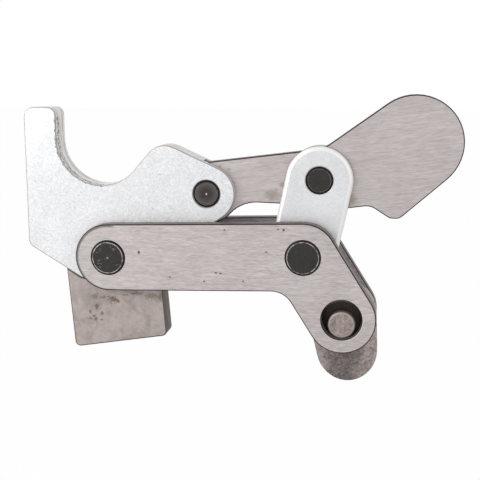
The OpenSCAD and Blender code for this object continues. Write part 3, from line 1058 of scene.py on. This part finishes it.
class CLAMP_OT_block(bpy.types.Operator):
    """Dresses the raw weld block."""

    bl_idname = "clamp.block"
    bl_label = "Weld block"

    def execute(self, context):
        sizes = context.scene.clamp_plates
        colours = context.scene.clamp_colours
        rust_marks = (
            (-3.6, 19.5, 2.6, 1.1, 1.2),
            (-1.4, 19.2, 1.6, 1.0, 1.3),
            (-7.8, 20.6, 1.5, 1.2, 1.8),
            (-5.6, 20.8, 1.2, 1.2, 1.5),
            (-14.3, 13.5, 0.9, 0.9, 0.8),
            (-11.0, 16.3, 1.3, 1.1, 0.8),
            (-8.6, 13.0, 1.1, 0.9, 0.8),
            (-12.5, 11.6, 1.0, 1.0, 1.3),
            (-14.1, 10.2, 1.0, 1.0, 1.0),
            (-11.7, 10.0, 0.9, 1.0, 0.8),
            (-9.1, 9.8, 0.8, 1.0, 1.2),
        )
        smudges = (
            (14.4, 21.9, 4.6, 0.9, 2.0),
            (19.2, 21.6, 3.0, 0.9, 1.2),
            (8.6, 23.0, 4.0, 0.9, 3.0),
            (-12.0, 21.0, 2.6, 0.9, 1.4),
        )
        hairs = (
            (2.4, 22.0, 2.4, 0.5, 8.0),
            (5.8, 22.9, 2.2, 0.5, 8.0),
        )
        steel = sawn_steel("Sawn steel", colours.sawn_steel, colours.rust, rust_marks, smudges, hairs)
        dressed_plate("weld_block", steel, sizes.block_rim, sizes.rim_steps)
        return {"FINISHED"}


class CLAMP_OT_side_plates(bpy.types.Operator):
    """Dresses the two dog-leg side plates."""

    bl_idname = "clamp.side_plates"
    bl_label = "Side plates"

    def execute(self, context):
        sizes = context.scene.clamp_plates
        colours = context.scene.clamp_colours
        nicks = (
            (11.2, 43.4, 0.65, 0.1, 0.6),
            (45.8, 35.3, 0.9, 0.2, 2.2),
            (47.9, 35.1, 0.7, 0.2, 1.5),
            (25.1, 32.7, 0.5, 0.12, 1.0),
            (40.5, 31.3, 0.55, 0.12, 1.0),
            (57.9, 32.0, 0.5, 0.12, 1.0),
            (49.7, 54.6, 0.55, 0.12, 1.4),
            (73.1, 55.4, 0.6, 0.12, 1.4),
            (75.5, 55.2, 0.7, 0.12, 1.0),
            (68.0, 45.3, 0.9, 0.15, 2.6),
        )
        pin = centre_of("main_pin")
        # Painted shade round the rounded end of the side plates, beside the main pin
        end_shade = ((pin.x + 0.25 * MM, pin.z - 0.25 * MM), 14.0 * MM, pin.x + 1 * MM)
        # The foot hole gets a painted highlight on its lower right lip
        hole = (FOOT_HOLE_CENTRE, FOOT_HOLE_RADIUS)
        steel = ground_steel("Ground plate", colours.ground_steel, 0.0, 0.34, nicks, (), end_shade, hole)
        for node in ("side_plate_front", "side_plate_rear"):
            dressed_plate(node, steel, sizes.ground_rim, sizes.rim_steps)
        return {"FINISHED"}


class CLAMP_OT_lever(bpy.types.Operator):
    """Dresses the lever."""

    bl_idname = "clamp.lever"
    bl_label = "Lever"

    def execute(self, context):
        sizes = context.scene.clamp_plates
        colours = context.scene.clamp_colours
        smudges = (
            (69.5, 69.0, 4.2, 0.6, 1.3),
            (73.7, 73.6, 2.0, 0.7, 1.5),
            (104.2, 67.6, 2.6, 0.6, 0.8),
            (102.9, 66.0, 1.8, 0.7, 0.8),
            (46.1, 81.2, 1.2, 0.7, 1.5),
            (50.2, 79.9, 1.0, 0.7, 1.5),
        )
        steel = ground_steel("Ground lever", colours.ground_steel, math.radians(6), 0.25, (), smudges)
        dressed_plate("lever", steel, sizes.ground_rim, sizes.rim_steps)
        return {"FINISHED"}


class CLAMP_OT_links(bpy.types.Operator):
    """Dresses the two coined link plates."""

    bl_idname = "clamp.links"
    bl_label = "Links"

    def execute(self, context):
        colours = context.scene.clamp_colours
        # The links' rims get a painted highlight and their walls painted shade
        zinc = zinc_plate("Zinc link", colours.zinc, LINK_RIM_HIGHLIGHT, LINK_WALL_SHADE, 0.06)
        for node in ("link_plate_front", "link_plate_rear"):
            dressed_plate(node, zinc)
        return {"FINISHED"}


class CLAMP_OT_pins(bpy.types.Operator):
    """Turns the four blackened pins and the raw nose pin."""

    bl_idname = "clamp.pins"
    bl_label = "Pins"

    def execute(self, context):
        sizes = context.scene.clamp_pins
        colours = context.scene.clamp_colours
        tree = turned_pin_tree()
        black = black_pin_steel("Blackened pin", colours.blackened, 0.08)
        scuffed = black_pin_steel("Scuffed pin", colours.blackened, 0.5)
        rubbed = black_pin_steel("Rubbed pin", colours.blackened, 0.1, centre_of("handle_pin"))
        raw = raw_pin_steel("Raw pin", colours.raw_pin)
        for node, chamfer, land, mark, steel in (
            ("main_pin", sizes.chamfer, sizes.land, sizes.mark, scuffed),
            ("link_pin", sizes.chamfer, sizes.land, HAIR, black),
            ("handle_pin", sizes.lever_chamfer, HAIR, sizes.mark, rubbed),
            ("toggle_pin", sizes.lever_chamfer, HAIR, HAIR, black),
        ):
            turned_pin(tree, node, chamfer, land, mark, sizes.sides, steel)
        turned_pin(tree, "nose_pin", sizes.chamfer, sizes.land, HAIR, sizes.sides, raw)
        return {"FINISHED"}


class CLAMP_OT_nose(bpy.types.Operator):
    """Dresses the rough nose."""

    bl_idname = "clamp.nose"
    bl_label = "Nose"

    def execute(self, context):
        colours = context.scene.clamp_colours
        pin = centre_of("nose_pin")
        steel = nose_steel("Nose steel", colours.nose_steel, centre_of("nose").x, pin)
        dressed_plate("nose", steel)
        return {"FINISHED"}


class CLAMP_OT_bushes(bpy.types.Operator):
    """Dresses the lever's two bushes and the spacer on the link pin."""

    bl_idname = "clamp.bushes"
    bl_label = "Bushes and spacer"

    def execute(self, context):
        colours = context.scene.clamp_colours
        bronze = bearing_bronze("Bearing bronze", colours.bronze)
        for node in ("lever_bush_handle", "lever_bush_toggle"):
            dressed_plate(node, bronze)
        steel = sawn_steel("Spacer steel", colours.sawn_steel, colours.rust)
        dressed_plate("link_spacer", steel)
        return {"FINISHED"}


def seen_rays(bench):
    """Mask of the rays by which something is seen, and not only lit."""
    path = bench.add("ShaderNodeLightPath").outputs
    seen = bench.math("MAXIMUM", path["Is Camera Ray"], path["Is Glossy Ray"])
    return bench.math("MAXIMUM", seen, path["Is Transmission Ray"])


def backdrop_material():
    """White floor that still shows a soft shadow."""
    material = bpy.data.materials.new("White floor")
    material.use_nodes = True
    nodes = material.node_tree.nodes
    nodes.remove(nodes["Principled BSDF"])
    bench = NodeBench(material.node_tree)
    matt = bench.add("ShaderNodeBsdfDiffuse")
    bench.feed(matt.inputs["Color"], FLOOR_GREY)
    glow = bench.add("ShaderNodeEmission")
    mixed = bench.add("ShaderNodeMixShader")
    bench.feed(mixed.inputs[0], bench.math("MULTIPLY", seen_rays(bench), FLOOR_GLOW))
    bench.feed(mixed.inputs[1], matt.outputs[0])
    bench.feed(mixed.inputs[2], glow.outputs[0])
    bench.feed(nodes["Material Output"].inputs["Surface"], mixed.outputs[0])
    return material


def white_world():
    """World that is white where it is seen and softer where it lights."""
    world = bpy.data.worlds.new("White studio")
    bpy.context.scene.world = world
    world.use_nodes = True
    bench = NodeBench(world.node_tree)
    sky = world.node_tree.nodes["Background"]
    bench.feed(sky.inputs["Color"], (1, 1, 1, 1))
    strength = bench.ramp(seen_rays(bench), 0, 1, WORLD_LIGHT, 1.0, smooth=False)
    bench.feed(sky.inputs["Strength"], strength)


def area_lamp(name, power, size, place, target):
    """A soft square lamp that looks at a point."""
    data = bpy.data.lights.new(name, "AREA")
    data.energy = power
    data.size = size
    lamp = bpy.data.objects.new(name, data)
    lamp.location = place
    lamp.rotation_euler = (target - place).to_track_quat("-Z", "Y").to_euler()
    lamp.visible_camera = False
    bpy.context.scene.collection.objects.link(lamp)


class CLAMP_OT_stage(bpy.types.Operator):
    """Sets up the floor, the soft lamps, the white world and the camera."""

    bl_idname = "clamp.stage"
    bl_label = "Stage"

    def execute(self, context):
        stage = context.scene.clamp_stage
        middle = (CAD_LOW + CAD_HIGH) / 2
        height = CAD_LOW.z - stage.floor_gap
        corners = [
            (-FLOOR_REACH, -FLOOR_REACH, height),
            (FLOOR_REACH, -FLOOR_REACH, height),
            (FLOOR_REACH, FLOOR_REACH, height),
            (-FLOOR_REACH, FLOOR_REACH, height),
        ]
        mesh = bpy.data.meshes.new("floor")
        mesh.from_pydata(corners, [], [(0, 1, 2, 3)])
        mesh.materials.append(backdrop_material())
        floor = bpy.data.objects.new("floor", mesh)
        context.scene.collection.objects.link(floor)
        white_world()
        area_lamp("Key lamp", stage.key_power, KEY_SIZE, middle + KEY_PLACE, middle)
        area_lamp("Fill lamp", stage.fill_power, FILL_SIZE, middle + FILL_PLACE, middle)
        data = bpy.data.cameras.new("Camera")
        data.lens = stage.lens
        data.clip_start = 0.01
        data.clip_end = 20.0
        camera = bpy.data.objects.new("Camera", data)
        camera.location = stage.camera_place
        camera.rotation_euler = (math.radians(90) - stage.camera_pitch, 0, stage.camera_yaw)
        context.scene.collection.objects.link(camera)
        context.scene.camera = camera
        context.scene.view_settings.view_transform = "Standard"
        return {"FINISHED"}


class CLAMP_PT_panel(bpy.types.Panel):
    """Lists the clamp's sizes, colours and steps."""

    bl_idname = "CLAMP_PT_panel"
    bl_label = "Hold-down clamp"
    bl_space_type = "VIEW_3D"
    bl_region_type = "UI"
    bl_category = "Clamp"

    def draw(self, context):
        layout = self.layout
        for group in (
            context.scene.clamp_plates,
            context.scene.clamp_pins,
            context.scene.clamp_colours,
            context.scene.clamp_stage,
        ):
            box = layout.box()
            for name in group.bl_rna.properties.keys():
                if name not in ("rna_type", "name"):
                    box.prop(group, name)
        for operator in OPERATORS:
            layout.operator(operator.bl_idname)


OPERATORS = (
    CLAMP_OT_hook,
    CLAMP_OT_block,
    CLAMP_OT_side_plates,
    CLAMP_OT_lever,
    CLAMP_OT_links,
    CLAMP_OT_pins,
    CLAMP_OT_nose,
    CLAMP_OT_bushes,
    CLAMP_OT_stage,
)
SETTINGS = {
    "clamp_plates": ClampPlateSizes,
    "clamp_pins": ClampPinSizes,
    "clamp_colours": ClampColours,
    "clamp_stage": ClampStage,
}


def register():
    """Registers the settings, the operators and the panel."""
    for name, group in SETTINGS.items():
        bpy.utils.register_class(group)
        setattr(bpy.types.Scene, name, bpy.props.PointerProperty(type=group))
    for operator in OPERATORS:
        bpy.utils.register_class(operator)
    bpy.utils.register_class(CLAMP_PT_panel)


def unregister():
    """Takes back what register did."""
    bpy.utils.unregister_class(CLAMP_PT_panel)
    for operator in reversed(OPERATORS):
        bpy.utils.unregister_class(operator)
    for name, group in SETTINGS.items():
        delattr(bpy.types.Scene, name)
        bpy.utils.unregister_class(group)


def main():
    """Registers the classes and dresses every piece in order."""
    register()
    bpy.ops.clamp.hook()
    bpy.ops.clamp.block()
    bpy.ops.clamp.side_plates()
    bpy.ops.clamp.lever()
    bpy.ops.clamp.links()
    bpy.ops.clamp.pins()
    bpy.ops.clamp.nose()
    bpy.ops.clamp.bushes()
    bpy.ops.clamp.stage()


if __name__ == "__main__":
    main()
